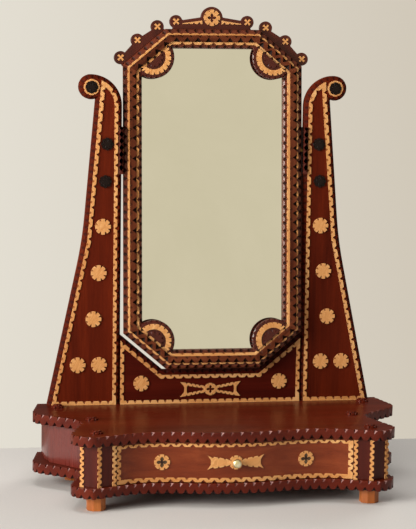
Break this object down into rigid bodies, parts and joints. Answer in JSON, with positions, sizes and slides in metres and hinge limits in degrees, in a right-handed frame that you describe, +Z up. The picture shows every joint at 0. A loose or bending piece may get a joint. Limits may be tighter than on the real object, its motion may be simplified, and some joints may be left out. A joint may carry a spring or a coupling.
{
  "type": "dressing table mirror",
  "caption": "Tilting eight-sided mirror between scrolled uprights on a serpentine case with a drawer, chip-carved dark wood with light inlay.",
  "frame": {"origin": "on the surface the feet stand on, in the middle of the object's width and depth", "axes": "+Z up, -Y towards the user in front of the mirror, +X to the user's right"},
  "size_m": [0.5194, 0.26, 0.6702],
  "materials": {
    "dark_wood": "satin varnish",
    "drawer_wood": "satin varnish",
    "black_wood": "satin varnish",
    "light_wood": "satin varnish",
    "foot_wood": "satin varnish",
    "plain_wood": "bare, planed",
    "mirror_glass": "polished",
    "brass": "turned",
    "steel": "turned",
    "knob": "polished"
  },
  "bodies": {
    "stand": {"base_board": "dark_wood", "top_board": "dark_wood", "left_case_side": "dark_wood", "right_case_side": "dark_wood", "left_corner_post": "dark_wood", "right_corner_post": "dark_wood", "left_upright": "dark_wood", "right_upright": "dark_wood", "lower_panel": "dark_wood", "upright_buttons": "black_wood", "case_buttons": "black_wood", "left_pivot_block": "black_wood", "right_pivot_block": "black_wood", "left_front_foot": "foot_wood", "right_front_foot": "foot_wood", "left_rear_foot": "foot_wood", "right_rear_foot": "foot_wood", "case_back": "plain_wood", "left_drawer_guide": "plain_wood", "right_drawer_guide": "plain_wood", "drawer_stops": "plain_wood", "upright_dowels": "plain_wood", "post_strips": "light_wood", "left_upright_inlay": "light_wood", "right_upright_inlay": "light_wood", "upright_rosettes": "light_wood", "lower_panel_inlay": "light_wood", "lower_panel_bow": "light_wood", "lower_panel_rosettes": "light_wood", "pivot_pins": "steel"},
    "mirror": {"right_stile": "dark_wood", "upper_right_rail": "dark_wood", "top_rail": "dark_wood", "upper_left_rail": "dark_wood", "left_stile": "dark_wood", "lower_left_rail": "dark_wood", "bottom_rail": "dark_wood", "lower_right_rail": "dark_wood", "ridge_layer": "dark_wood", "corner_fans": "dark_wood", "crest_top": "dark_wood", "crest_right": "dark_wood", "crest_left": "dark_wood", "light_layer": "light_wood", "fan_rings": "light_wood", "crest_rosettes": "light_wood", "backing_board": "plain_wood", "backing_fillets": "plain_wood", "mirror_glass": "mirror_glass", "pivot_bushes": "brass"},
    "drawer": {"drawer_front": "drawer_wood", "drawer_left_side": "plain_wood", "drawer_right_side": "plain_wood", "drawer_back": "plain_wood", "drawer_bottom": "plain_wood", "drawer_inlay": "light_wood", "drawer_bow": "light_wood", "drawer_rosettes": "light_wood", "drawer_knob": "knob"}
  },
  "joints": [
    {"name": "mirror_tilt", "type": "hinge", "parent": "stand", "child": "mirror", "pos_m": [0, 0.10047, 0.4677], "axis": [1, 0, 0], "range_deg": [-35, 45]},
    {"name": "drawer_slide", "type": "slide", "parent": "stand", "child": "drawer", "axis": [0, -1, 0], "range_m": [0, 0.14]}
  ]
}
